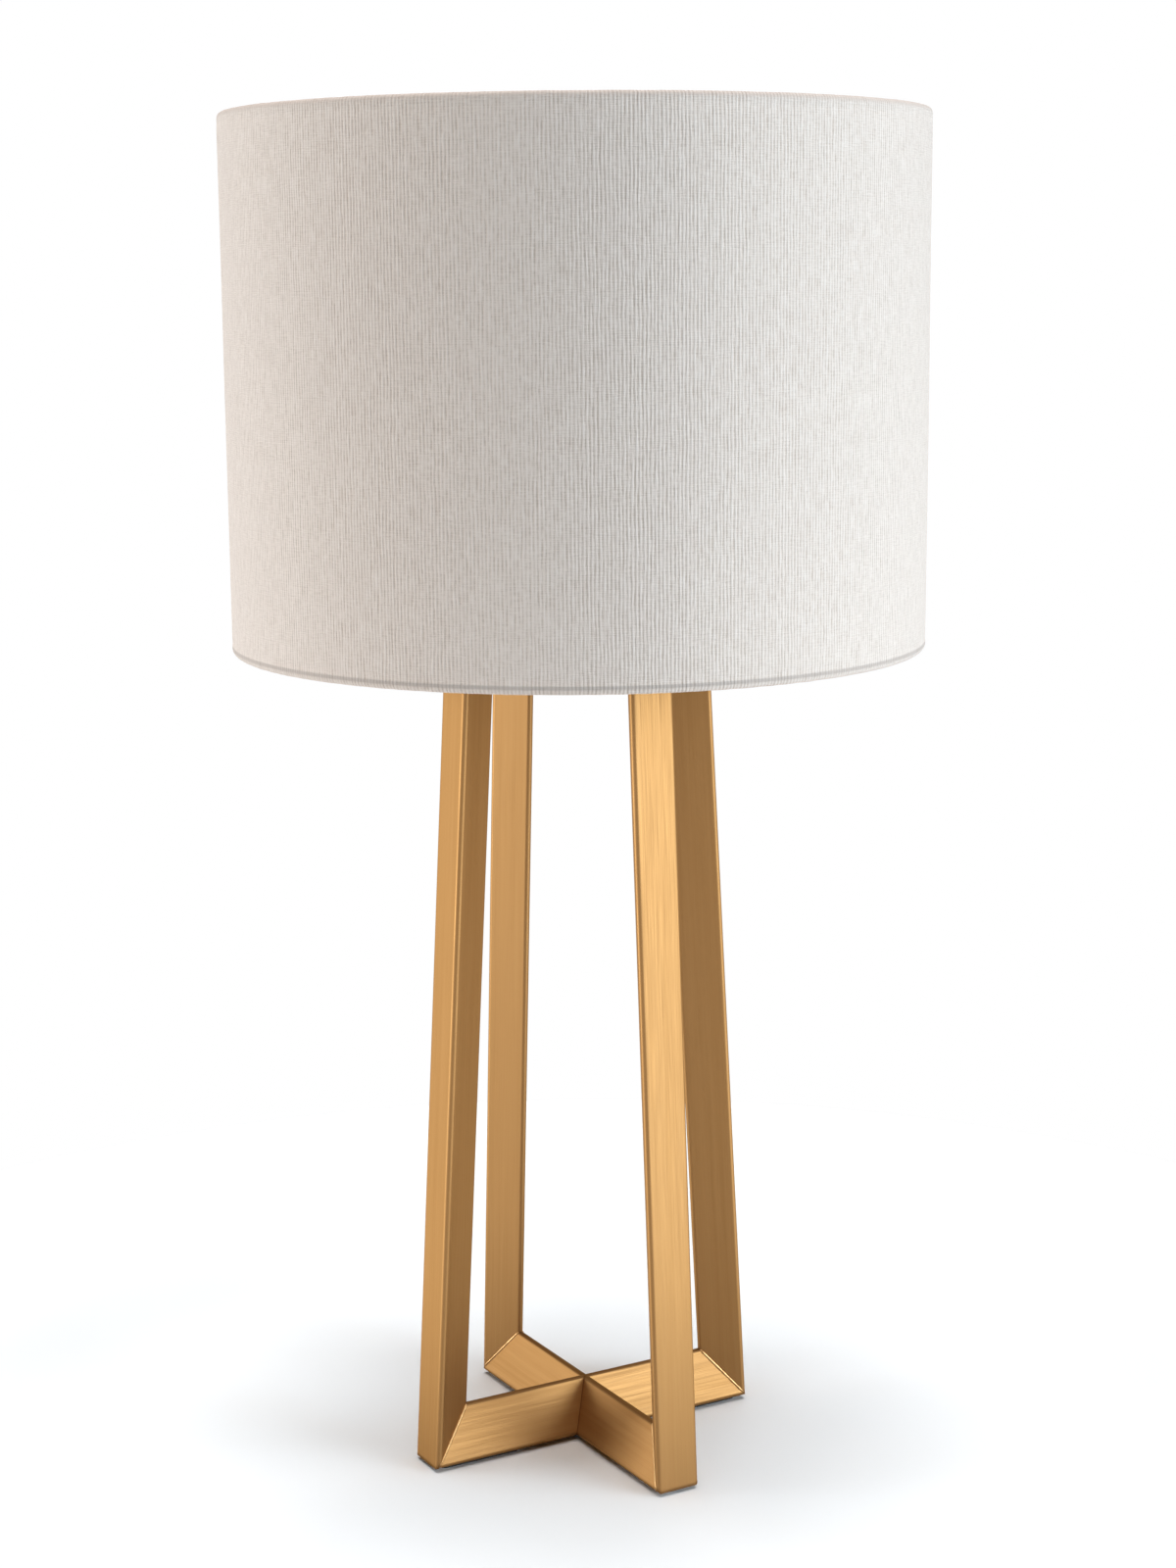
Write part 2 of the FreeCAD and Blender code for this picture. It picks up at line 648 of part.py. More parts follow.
# ---- Bulb ----
def globe_touch(radius, neck_radius, neck_level, globe_level):
    """Where the neck's straight flare touches the round globe, as a point."""
    drop = globe_level - neck_level
    distance = math.hypot(neck_radius, drop)
    swing = math.acos(radius / distance)
    lean = math.atan2(neck_radius, drop)
    angle = lean + swing
    return at(radius * math.sin(angle), globe_level - radius * math.cos(angle))


def build_bulb():
    pieces["bulb_tip_contact"] = turned([
        (0, bulb_bottom), (tip_radius - tip_height / 2, bulb_bottom),
        (tip_radius, bulb_bottom + tip_height / 2), (tip_radius, insulator_bottom), (0, insulator_bottom),
    ])
    pieces["bulb_insulator"] = turned([
        (0, insulator_bottom), (tip_radius, insulator_bottom),
        (insulator_radius, bulb_cap_bottom), (0, bulb_cap_bottom),
    ])
    outer = [(insulator_radius, bulb_cap_bottom)]
    inner = [(insulator_radius - bulb_cap_wall, bulb_cap_bottom)]
    for turn in range(bulb_thread_turns):
        crest = bulb_cap_bottom + bulb_thread_pitch * (turn + 0.5)
        root = bulb_cap_bottom + bulb_thread_pitch * (turn + 1)
        outer += [(bulb_cap_radius, crest), (bulb_cap_root_radius, root)]
        inner += [(bulb_cap_radius - bulb_cap_wall, crest), (bulb_cap_root_radius - bulb_cap_wall, root)]
    rim_bottom = bulb_cap_thread_top + rim_height / 3
    outer += [(bulb_cap_rim_radius, rim_bottom), (bulb_cap_rim_radius, bulb_cap_top)]
    inner += [(bulb_cap_rim_radius - bulb_cap_wall, rim_bottom), (bulb_cap_rim_radius - bulb_cap_wall, bulb_cap_top)]
    pieces["bulb_cap"] = turned(outer + inner[::-1])

    globe_level = bulb_top - globe_radius
    neck_level = bulb_cap_top + rim_height
    root_level = bulb_cap_thread_top + rim_height / 2
    edges = []
    ends = []
    half_right_angle = math.radians(45)
    for inset in (0, glass_wall):
        radius = globe_radius - inset
        neck = at(glass_neck_radius - inset, neck_level)
        root = at(glass_root_radius - inset, root_level)
        touch = globe_touch(radius, neck.x, neck_level, globe_level)
        side = at(radius, globe_level)
        crown = at(0, globe_level + radius)
        low_angle = math.atan2(touch.z - globe_level, touch.x) / 2
        low_via = at(radius * math.cos(low_angle), globe_level + radius * math.sin(low_angle))
        high_rise = radius * math.sin(half_right_angle)
        high_via = at(radius * math.cos(half_right_angle), globe_level + high_rise)
        edges += [line(root, neck), line(neck, touch), arc(touch, low_via, side), arc(side, high_via, crown)]
        ends.append((root, crown))
    (outer_root, outer_crown), (inner_root, inner_crown) = ends
    edges += [line(outer_root, inner_root), line(outer_crown, inner_crown)]
    pieces["bulb_glass"] = turned_edges(Part.sortEdges(edges)[0])

    stem_disc_level = globe_level - filament_length / 2 - stem_disc_thickness
    stem_flare_radius = glass_root_radius - glass_wall
    stem_flare_level = root_level + stem_flare_radius - stem_radius
    post_top = globe_level + filament_length / 2
    pieces["bulb_stem"] = turned([
        (0, root_level), (stem_flare_radius, root_level), (stem_flare_radius, root_level + glass_wall),
        (stem_radius, stem_flare_level), (stem_radius, stem_disc_level),
        (stem_disc_radius, stem_disc_level), (stem_disc_radius, stem_disc_level + stem_disc_thickness),
        (post_radius, stem_disc_level + stem_disc_thickness), (post_radius, post_top),
        (stem_disc_radius, post_top), (stem_disc_radius, post_top + stem_disc_thickness),
        (0, post_top + stem_disc_thickness),
    ])
    filament_start = at(filament_ring_radius, globe_level - filament_length / 2)
    filament = cylinder(filament_radius, filament_start, up, filament_length)
    angles = [filament_start_angle + index * 360 / filament_count for index in range(filament_count)]
    pieces["bulb_filaments"] = Part.makeCompound([spun(filament, angle) for angle in angles])


build_legs()
build_base_bars()
build_top_bars()
build_pads()
build_grommet()
build_hub()
build_cap()
build_switch()
build_insert()
build_skirt()
build_shade_rings()
build_shade(build_fitter())
build_bulb()

for name, shape in pieces.items():
    shape.exportStep("parts/" + name + ".step")
    print(f"{name:22s} solids {len(shape.Solids)}  volume {shape.Volume:10.1f}  valid {shape.isValid()}")
print("pieces", len(pieces), " shade from", shade_bottom, "to", shade_top, " bulb top", bulb_top)
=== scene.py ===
import bpy
import math
from mathutils import Matrix, Vector, noise


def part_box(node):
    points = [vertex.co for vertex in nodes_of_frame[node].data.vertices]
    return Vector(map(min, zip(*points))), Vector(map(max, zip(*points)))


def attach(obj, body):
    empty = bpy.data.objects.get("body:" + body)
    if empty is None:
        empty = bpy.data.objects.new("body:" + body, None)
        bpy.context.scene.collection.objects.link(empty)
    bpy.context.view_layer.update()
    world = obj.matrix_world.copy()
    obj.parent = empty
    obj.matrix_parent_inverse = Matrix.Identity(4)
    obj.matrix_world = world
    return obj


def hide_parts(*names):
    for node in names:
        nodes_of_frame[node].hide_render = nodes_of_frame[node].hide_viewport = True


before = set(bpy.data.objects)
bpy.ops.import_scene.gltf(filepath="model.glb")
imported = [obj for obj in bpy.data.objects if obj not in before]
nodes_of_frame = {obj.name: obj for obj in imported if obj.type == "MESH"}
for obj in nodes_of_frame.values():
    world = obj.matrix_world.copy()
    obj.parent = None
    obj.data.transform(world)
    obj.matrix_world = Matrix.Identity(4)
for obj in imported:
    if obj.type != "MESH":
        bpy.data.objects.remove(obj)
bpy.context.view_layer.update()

# Looks of the table lamp: brushed brass frames, a linen drum shade, the fittings inside it,
# a pale floor, soft lamps and the camera. Metres, +Z up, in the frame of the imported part.

# ---- Camera: the photograph's viewing angle ----
FRAME_HEIGHT_PIXELS = 1600
FOCAL_PIXELS = 2830.6
SENSOR_HEIGHT = 36.0                      # millimetres
CAMERA_DISTANCE = 1.4041                  # from the lamp's axis
CAMERA_HEIGHT = 0.6102
CAMERA_BEARING = math.radians(-119.68)    # direction from the axis to the camera
CAMERA_SWING = 0.0029                     # radians to the right of the axis
CAMERA_PITCH = 0.1821                     # radians down
CAMERA_ROLL = -0.0075

# ---- Linen cover ----
LINEN_THICKNESS = 0.0007
COVER_COLUMNS = 576
WALL_ROWS = 64
ROLL_ROWS = 8
HEM_ROWS = 5
HEM_HEIGHT = 0.010
HEM_AT_ARM = 0.0012                       # what is left of the hem where an arm passes it
HEM_NOTCH_HALF_WIDTH = 0.0045
HEM_NOTCH_FADE = 0.0015
ROLL_RADIUS = 0.0026                      # of the linen round a wire ring
SEAM_BEARING = math.radians(60)
SEAM_WIDTH = 0.010
SEAM_STEP = 0.0004
SEAM_FOLD = 0.0006                        # run of the step at the folded edge
SEAM_FADE = 0.003                         # and at the edge that is glued flat
WALL_SPARE = 0.00025                      # keeps the uneven wall clear of the liner behind it
WALL_WAVE = 0.00020                       # how far the wall wanders in and out
WALL_BLEND = 0.004                        # from a rolled edge to where the wall wanders fully
EDGE_WAVE = 0.00012                       # how far the rolled edges wander up and down
GROOVE = 0.00022                          # next to each rolled edge
GROOVE_START = 0.0015
GROOVE_END = 0.006
# Painted shadow lines on the linen where the wall meets each rolled edge.
TOP_SHADE_LINE = (0.0022, 0.0018)               # dark line: distance over the wall's end, half width
BOTTOM_SHADE_LINE = (0.0008, 0.0009)
ARM_BEARINGS = [math.radians(30 + 120 * index) for index in range(3)]

# ---- Floor ----
FLOOR_RADIUS = 0.60
FLOOR_CORNERS = 96
FLOOR_LIGHT = (0.95, 0.95, 0.95)
FLOOR_DARK = (0.93, 0.93, 0.93)
WHITE_SURROUND = (1.0, 1.0, 1.0, 1.0)

# ---- Light: angles in degrees, bearings to the right of the camera ----
WORLD_LIGHT = 0.01                        # what the white surround adds to the lamps
OVERHEAD_COUNT = 8
OVERHEAD_TILT = 18                        # off the vertical, of each lamp of the overhead ring
OVERHEAD_TURN = 45                        # bearing of the first one
OVERHEAD_STRENGTH = 0.40
OVERHEAD_SPREAD = 15
LAMP_DISTANCE = 3                         # of the lamps' markers, which doesn't change their light


# ---- Helpers for materials ----
class Nodes:
    """The node tree of a new material, with short calls that add and link its nodes."""

    def __init__(self, name):
        self.material = bpy.data.materials.new(name)
        self.material.use_nodes = True
        self.tree = self.material.node_tree
        self.shader = self.tree.nodes["Principled BSDF"]

    def add(self, kind, **settings):
        node = self.tree.nodes.new(kind)
        for key, value in settings.items():
            setattr(node, key, value)
        return node

    def link(self, output, socket):
        self.tree.links.new(output, socket)

    def coordinates(self, scale, turn=(0, 0, 0), kind="Object"):
        """Coordinates in metres, turned and then stretched for the texture that follows."""
        source = self.add("ShaderNodeTexCoord")
        turned = self.add("ShaderNodeMapping", vector_type="POINT")
        turned.inputs["Rotation"].default_value = turn
        stretched = self.add("ShaderNodeMapping", vector_type="POINT")
        stretched.inputs["Scale"].default_value = scale
        self.link(source.outputs[kind], turned.inputs["Vector"])
        self.link(turned.outputs["Vector"], stretched.inputs["Vector"])
        return stretched.outputs["Vector"]

    def noise(self, vector, scale=1.0, detail=3.0, roughness=0.55, distortion=0.0):
        texture = self.add("ShaderNodeTexNoise")
        texture.inputs["Scale"].default_value = scale
        texture.inputs["Detail"].default_value = detail
        texture.inputs["Roughness"].default_value = roughness
        texture.inputs["Distortion"].default_value = distortion
        self.link(vector, texture.inputs["Vector"])
        return texture.outputs["Fac"]

    def ramp(self, factor, stops):
        """A colour ramp: stops are (place, colour) pairs."""
        ramp = self.add("ShaderNodeValToRGB")
        elements = ramp.color_ramp.elements
        while len(elements) < len(stops):
            elements.new(0.5)
        for element, (place, colour) in zip(elements, stops):
            element.position = place
            element.color = (*colour, 1.0)
        self.link(factor, ramp.inputs["Fac"])
        return ramp.outputs["Color"]

    def range(self, value, low, high, from_low=0.0, from_high=1.0):
        node = self.add("ShaderNodeMapRange")
        node.inputs["From Min"].default_value = from_low
        node.inputs["From Max"].default_value = from_high
        node.inputs["To Min"].default_value = low
        node.inputs["To Max"].default_value = high
        self.link(value, node.inputs["Value"])
        return node.outputs["Result"]

    def from_noise(self, value, low, high):
        """Maps a noise to low..high. Nearly all its values lie from 0.3 to 0.7."""
        return self.range(value, low, high, 0.3, 0.7)

    def maths(self, operation, first, second=0.0):
        node = self.add("ShaderNodeMath", operation=operation)
        for socket, value in zip(node.inputs, (first, second)):
            if isinstance(value, (int, float)):
                socket.default_value = value
            else:
                self.link(value, socket)
        return node.outputs["Value"]

    def mix(self, factor, first, second, blend="MIX"):
        """Mixes two colours. Each may be a colour or a link."""
        node = self.add("ShaderNodeMix", data_type="RGBA", blend_type=blend)
        factor_socket, first_socket, second_socket = (node.inputs[index] for index in (0, 6, 7))
        for socket, value in ((factor_socket, factor), (first_socket, first), (second_socket, second)):
            if isinstance(value, (int, float)):
                socket.default_value = value
            elif isinstance(value, tuple):
                socket.default_value = (*value, 1.0)
            else:
                self.link(value, socket)
        return node.outputs[2]

    def bump(self, height, distance, strength=1.0, normal=None):
        node = self.add("ShaderNodeBump")
        node.inputs["Strength"].default_value = strength
        node.inputs["Distance"].default_value = distance
        self.link(height, node.inputs["Height"])
        if normal is not None:
            self.link(normal, node.inputs["Normal"])
        return node.outputs["Normal"]

    def finish(self, colour=None, roughness=None, normal=None, **constants):
        """Feeds the shader. The constants are numbers or colours on its own sockets."""
        for socket, value in (("Base Color", colour), ("Roughness", roughness), ("Normal", normal)):
            if value is None:
                continue
            if isinstance(value, (int, float)):
                self.shader.inputs[socket].default_value = value
            elif isinstance(value, tuple):
                self.shader.inputs[socket].default_value = (*value, 1.0)
            else:
                self.link(value, self.shader.inputs[socket])
        for name, value in constants.items():
            socket = self.shader.inputs[name.replace("_", " ")]
            socket.default_value = (*value, 1.0) if isinstance(value, tuple) else value
        return self.material


# ---- Materials ----
BRASS_LIGHT = (0.375, 0.205, 0.080)
BRASS_MIDDLE = (0.302, 0.156, 0.056)
BRASS_DARK = (0.245, 0.119, 0.038)
# BRASS_LINE colours the painted dark reflection along the tubes' corners and the dark line along the
# bars' ridges.
BRASS_LINE = (0.085, 0.036, 0.013)
BRASS_GRAZING = (0.84, 0.65, 0.46)
BRASS_ROUGHNESS = (0.44, 0.60)
LEG_STREAKS = 0.30
BAR_STREAKS = 0.48
CLOUD_SHARE = 0.35                        # most that the even tone takes over from the streaks
LINE_SHARE = 0.75                         # how dark the lines along the corners and ridges are
EDGE_REACH = 0.0022                       # width of the darker line along a tube's corners
RIDGE_LINE = (0.0017, 0.0007)             # depth under the ridge where its dark line fades, and is full
RIDGE_WANDER = 0.0004


def brushed_brass(name, turn, streaks, ridge_level=None):
    """Satin brass brushed along the tube. turn lays the tube's length on the texture's Z, and
    streaks says how strongly they show. A painted dark reflection runs along the tube's corners,
    and near ridge_level a dark line runs along the ridge."""
    nodes = Nodes(name)
    scratches = nodes.noise(nodes.coordinates((2600, 2600, 26), turn), detail=2.0)
    grain = nodes.noise(nodes.coordinates((1300, 1300, 16), turn), detail=3.0)
    bands = nodes.noise(nodes.coordinates((360, 360, 5), turn), detail=2.0)
    clouds = nodes.noise(nodes.coordinates((26, 26, 14), turn), detail=2.0)
    fine, wide = nodes.maths("MULTIPLY", grain, 0.45), nodes.maths("MULTIPLY", bands, 0.55)
    tone = nodes.maths("ADD", fine, wide)
    tone = nodes.range(tone, 0.5 - streaks / 2, 0.5 + streaks / 2, 0.32, 0.68)
    colour = nodes.ramp(tone, [(0.0, BRASS_DARK), (1.0, BRASS_LIGHT)])
    colour = nodes.mix(nodes.range(clouds, 0.0, CLOUD_SHARE, 0.35, 0.75), colour, BRASS_MIDDLE)
    # Painted dark reflection along each rounded corner, where the bevelled normal turns from the
    # surface's own.
    corner = nodes.add("ShaderNodeBevel", samples=6)
    corner.inputs["Radius"].default_value = EDGE_REACH
    surface = nodes.add("ShaderNodeNewGeometry")
    likeness = nodes.add("ShaderNodeVectorMath", operation="DOT_PRODUCT")
    nodes.link(corner.outputs["Normal"], likeness.inputs[0])
    nodes.link(surface.outputs["Normal"], likeness.inputs[1])
    corner_painted_reflection = nodes.range(likeness.outputs["Value"], LINE_SHARE, 0.0, 0.88, 0.995)
    colour = nodes.mix(corner_painted_reflection, colour, BRASS_LINE)
    if ridge_level is not None:
        place = nodes.add("ShaderNodeSeparateXYZ")
        nodes.link(nodes.coordinates((1, 1, 1)), place.inputs["Vector"])
        wander = nodes.from_noise(grain, -RIDGE_WANDER, RIDGE_WANDER)
        height = nodes.maths("ADD", place.outputs["Z"], wander)
        fade, full = (ridge_level - depth for depth in RIDGE_LINE)
        edge = nodes.range(height, 0.0, LINE_SHARE, fade, full)
        colour = nodes.mix(edge, colour, BRASS_LINE)
    roughness = nodes.range(nodes.maths("ADD", scratches, grain), *BRASS_ROUGHNESS, 0.7, 1.3)
    normal = nodes.bump(scratches, 0.00002, 0.5)
    normal = nodes.bump(grain, 0.00006, 0.35, normal)
    return nodes.finish(colour, roughness, normal, Metallic=1.0, Specular_Tint=BRASS_GRAZING)


def turned_brass(name):
    """Brass turned on a lathe, with fine rings round its axis."""
    nodes = Nodes(name)
    rings = nodes.noise(nodes.coordinates((60, 60, 3200)), detail=2.0)
    clouds = nodes.noise(nodes.coordinates((90, 90, 90)), detail=3.0)
    colour = nodes.ramp(clouds, [(0.3, BRASS_DARK), (0.7, BRASS_LIGHT)])
    roughness = nodes.from_noise(rings, 0.26, 0.46)
    return nodes.finish(colour, roughness, nodes.bump(rings, 0.00003, 0.5), Metallic=1.0)


def plain_metal(name, light, dark, rough_low, rough_high, grain_scale=900):
    """Plated or pressed metal with a fine even grain and cloudy tone."""
    nodes = Nodes(name)
    grain = nodes.noise(nodes.coordinates((grain_scale, grain_scale, grain_scale)), detail=3.0)
    clouds = nodes.noise(nodes.coordinates((120, 120, 120)), detail=2.0)
    colour = nodes.ramp(clouds, [(0.3, dark), (0.7, light)])
    roughness = nodes.from_noise(grain, rough_low, rough_high)
    return nodes.finish(colour, roughness, nodes.bump(grain, 0.00002, 0.4), Metallic=1.0)


def moulded(name, light, dark, rough_low, rough_high, grain_scale=1400, depth=0.00003, **constants):
    """Moulded plastic, rubber, paint or ceramic: fine spark-eroded or cast grain."""
    nodes = Nodes(name)
    grain = nodes.noise(nodes.coordinates((grain_scale, grain_scale, grain_scale)), detail=4.0)
    clouds = nodes.noise(nodes.coordinates((60, 60, 60)), detail=3.0)
    colour = nodes.ramp(clouds, [(0.3, dark), (0.7, light)])
    roughness = nodes.from_noise(grain, rough_low, rough_high)
    return nodes.finish(colour, roughness, nodes.bump(grain, depth, 0.5), **constants)


def clear_glass(name, tint):
    """Clear blown glass with faint waves in it."""
    nodes = Nodes(name)
    waves = nodes.noise(nodes.coordinates((55, 55, 30)), detail=1.0)
    normal = nodes.bump(waves, 0.0002, 0.15)
    return nodes.finish(tint, 0.02, normal, Transmission_Weight=1.0, IOR=1.46)


RIB_PITCH = 0.0018
THREAD_PITCH = 0.0010
LINEN_LIGHT = (0.93, 0.79, 0.695)
LINEN_MIDDLE = (0.83, 0.68, 0.58)
LINEN_DARK = (0.62, 0.48, 0.39)
LINEN_CLOUD = (0.80, 0.655, 0.565)
LINEN_SLUB = (0.52, 0.43, 0.36)
# Colour of the painted shadow lines at the rolled edges.
LINEN_PAINTED_SHADE = (0.42, 0.33, 0.28)
WEAVE_WANDER = 0.0014                     # how far ribs and threads stray from their even pitch
WEAVE_DEPTH = 0.00013


def linen(name, painted_shade_lines):
    """Woven linen. The UV map is in metres: U round the drum, V up it. Upright ribs of uneven
    width stand over finer level threads, with a few slubs and darker flecks. Each painted shade
    line is (V, half width) of a painted shadow line where the linen turns over a ring."""
    nodes = Nodes(name)
    wander = nodes.noise(nodes.coordinates((110, 40, 1), kind="UV"), detail=2.0)
    source = nodes.add("ShaderNodeTexCoord")
    place = nodes.add("ShaderNodeSeparateXYZ")
    nodes.link(source.outputs["UV"], place.inputs["Vector"])
    shift = nodes.maths("MULTIPLY", wander, WEAVE_WANDER)
    shifted_u = nodes.maths("ADD", place.outputs["X"], shift)
    shifted_v = nodes.maths("ADD", place.outputs["Y"], shift)
    ribs = nodes.maths("SINE", nodes.maths("MULTIPLY", shifted_u, 2 * math.pi / RIB_PITCH))
    threads = nodes.maths("SINE", nodes.maths("MULTIPLY", shifted_v, 2 * math.pi / THREAD_PITCH))
    uneven_ribs = nodes.noise(nodes.coordinates((1150, 130, 1), kind="UV"), detail=2.0)
    thick_ribs = nodes.noise(nodes.coordinates((620, 50, 1), kind="UV"), detail=1.0)
    uneven_threads = nodes.noise(nodes.coordinates((200, 1250, 1), kind="UV"), detail=2.0)
    fuzz = nodes.noise(nodes.coordinates((1900, 1900, 1), kind="UV"), detail=3.0)
    slubs = nodes.noise(nodes.coordinates((420, 130, 1), kind="UV"), detail=1.0)
    clouds = nodes.noise(nodes.coordinates((16, 14, 1), kind="UV"), detail=3.0)

    weave = nodes.maths("MULTIPLY", ribs, 0.55)
    weave = nodes.maths("ADD", weave, nodes.from_noise(uneven_ribs, -0.45, 0.45))
    weave = nodes.maths("ADD", weave, nodes.from_noise(thick_ribs, -0.18, 0.18))
    weave = nodes.maths("ADD", weave, nodes.maths("MULTIPLY", threads, 0.09))
    weave = nodes.maths("ADD", weave, nodes.from_noise(uneven_threads, -0.30, 0.30))
    weave = nodes.maths("ADD", weave, nodes.from_noise(fuzz, -0.12, 0.12))

    tone = nodes.range(weave, 0.0, 1.0, -1.0, 1.0)
    colour = nodes.ramp(tone, [(0.0, LINEN_DARK), (0.45, LINEN_MIDDLE), (1.0, LINEN_LIGHT)])
    colour = nodes.mix(nodes.range(clouds, 0.0, 0.20, 0.35, 0.7), colour, LINEN_CLOUD)
    colour = nodes.mix(nodes.range(slubs, 0.0, 0.35, 0.74, 0.82), colour, LINEN_SLUB)
    # Painted shadow line where the linen turns over each ring.
    for level, half_width in painted_shade_lines:
        away = nodes.maths("ABSOLUTE", nodes.maths("SUBTRACT", place.outputs["Y"], level))
        share = nodes.range(away, 0.6, 0.0, half_width * 0.5, half_width * 1.5)
        colour = nodes.mix(share, colour, LINEN_PAINTED_SHADE)
    normal = nodes.bump(weave, WEAVE_DEPTH, 0.8)
    return nodes.finish(
        colour, nodes.from_noise(fuzz, 0.80, 0.95), normal,
        Sheen_Weight=0.25, Sheen_Roughness=0.5, Sheen_Tint=(0.95, 0.92, 0.90),
        Specular_IOR_Level=0.25,
    )


def fibre(name):
    """Pressed red fibre board."""
    nodes = Nodes(name)
    hairs = nodes.noise(nodes.coordinates((900, 900, 900)), detail=5.0, distortion=1.5)
    colour = nodes.ramp(hairs, [(0.3, (0.30, 0.07, 0.04)), (0.7, (0.48, 0.15, 0.09))])
    return nodes.finish(colour, 0.8, nodes.bump(hairs, 0.00004, 0.6))


ALONG_X = (0, math.radians(-90), 0)
ALONG_Y = (math.radians(90), 0, 0)
FOOT_OUT = 0.0954                         # a leg's flat face from the lamp's axis, at the foot
LEG_TOP_OUT = 0.0698                      # the same at the top of the frames
LEG_RISE = 0.452
LEAN = math.atan2(FOOT_OUT - LEG_TOP_OUT, LEG_RISE)
bar_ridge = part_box("base_bar_through")[1][2]

IVORY = ((0.80, 0.77, 0.70), (0.74, 0.71, 0.64))
WHITE = ((0.84, 0.84, 0.82), (0.78, 0.78, 0.76))
finishes = {
    "leg_right": brushed_brass("brass_leg_right", (0, LEAN, 0), LEG_STREAKS),
    "leg_left": brushed_brass("brass_leg_left", (0, -LEAN, 0), LEG_STREAKS),
    "leg_back": brushed_brass("brass_leg_back", (-LEAN, 0, 0), LEG_STREAKS),
    "leg_front": brushed_brass("brass_leg_front", (LEAN, 0, 0), LEG_STREAKS),
}
brass_x = brushed_brass("brass_bars_x", ALONG_X, BAR_STREAKS, bar_ridge)
brass_y = brushed_brass("brass_bars_y", ALONG_Y, BAR_STREAKS, bar_ridge)
for node in ("base_bar_through", "top_bar_right", "top_bar_left"):
    finishes[node] = brass_x
for node in ("base_bar_back", "base_bar_front", "top_bar_back", "top_bar_front"):
    finishes[node] = brass_y

turned = turned_brass("brass_turned")
contact_brass = plain_metal("brass_pressed", (0.80, 0.58, 0.27), (0.66, 0.45, 0.19), 0.18, 0.34)
zinc = plain_metal("steel_plated", (0.66, 0.65, 0.60), (0.52, 0.51, 0.48), 0.28, 0.45)
foam = moulded("foam_black", (0.035, 0.034, 0.033), (0.02, 0.02, 0.02), 0.85, 0.98, 900, 0.00015)
black = moulded("plastic_black", (0.035, 0.035, 0.036), (0.022, 0.022, 0.023), 0.40, 0.60)
ivory = moulded("plastic_ivory", *IVORY, 0.32, 0.48)
porcelain = moulded("porcelain", (0.84, 0.82, 0.77), (0.76, 0.74, 0.69), 0.45, 0.65, 700)
paint = moulded("paint_white", *WHITE, 0.35, 0.50, 600, 0.00006)
film = moulded(
    "liner_film", (0.83, 0.82, 0.79), (0.79, 0.78, 0.75), 0.55, 0.70, 260, 0.00008,
)
solder = plain_metal("solder", (0.62, 0.62, 0.61), (0.45, 0.45, 0.45), 0.25, 0.50, 500)
vitrite = moulded(
    "glass_black", (0.02, 0.02, 0.025), (0.012, 0.012, 0.015), 0.10, 0.25, 300, 0.00004,
)
pressed_cap = plain_metal("cap_metal", (0.78, 0.78, 0.77), (0.66, 0.66, 0.66), 0.20, 0.36)
bulb_glass = clear_glass("glass_clear", (0.97, 0.98, 0.98))
phosphor = moulded("phosphor", (0.85, 0.62, 0.16), (0.75, 0.50, 0.10), 0.55, 0.75, 900, 0.00005)
red_fibre = fibre("fibre_red")

for node in nodes_of_frame:
    if node.startswith("foot_pad"):
        finishes[node] = foam
for node in ("top_hub", "neck_collar", "holder_cap"):
    finishes[node] = turned
for node in ("centre_contact", "screw_shell"):
    finishes[node] = contact_brass
for node in ("threaded_tube", "lock_nut", "terminal_screws", "switch_push_bar"):
    finishes[node] = zinc
for node in ("cord_inlet_grommet", "hub_plug", "switch_block"):
    finishes[node] = black
for node in (
    "holder_skirt", "seat_ring", "clamp_ring", "switch_button_front", "switch_button_back",
):
    finishes[node] = ivory
for node in ("fitter_ring", "fitter_arms", "shade_bottom_ring", "shade_top_ring"):
    finishes[node] = paint
finishes.update(
    ceramic_insert=porcelain, clamp_washer=red_fibre, shade_liner=film, bulb_tip_contact=solder,
    bulb_insulator=vitrite, bulb_cap=pressed_cap, bulb_glass=bulb_glass, bulb_stem=bulb_glass,
    bulb_filaments=phosphor,
)
for node, material in finishes.items():
    for holder in nodes_of_frame[node].material_slots:
        holder.material = material


# ---- Mesh helpers ----
def mesh_object(name, vertices, faces, material, smooth=True):
    mesh = bpy.data.meshes.new(name)
    mesh.from_pydata(vertices, [], faces)
    mesh.materials.append(material)
    for polygon in mesh.polygons:
        polygon.use_smooth = smooth
    piece = bpy.data.objects.new(name, mesh)
    bpy.context.scene.collection.objects.link(piece)
    return piece


def smooth_step(low, high, value):
    share = min(max((value - low) / (high - low), 0.0), 1.0)
    return share * share * (3 - 2 * share)


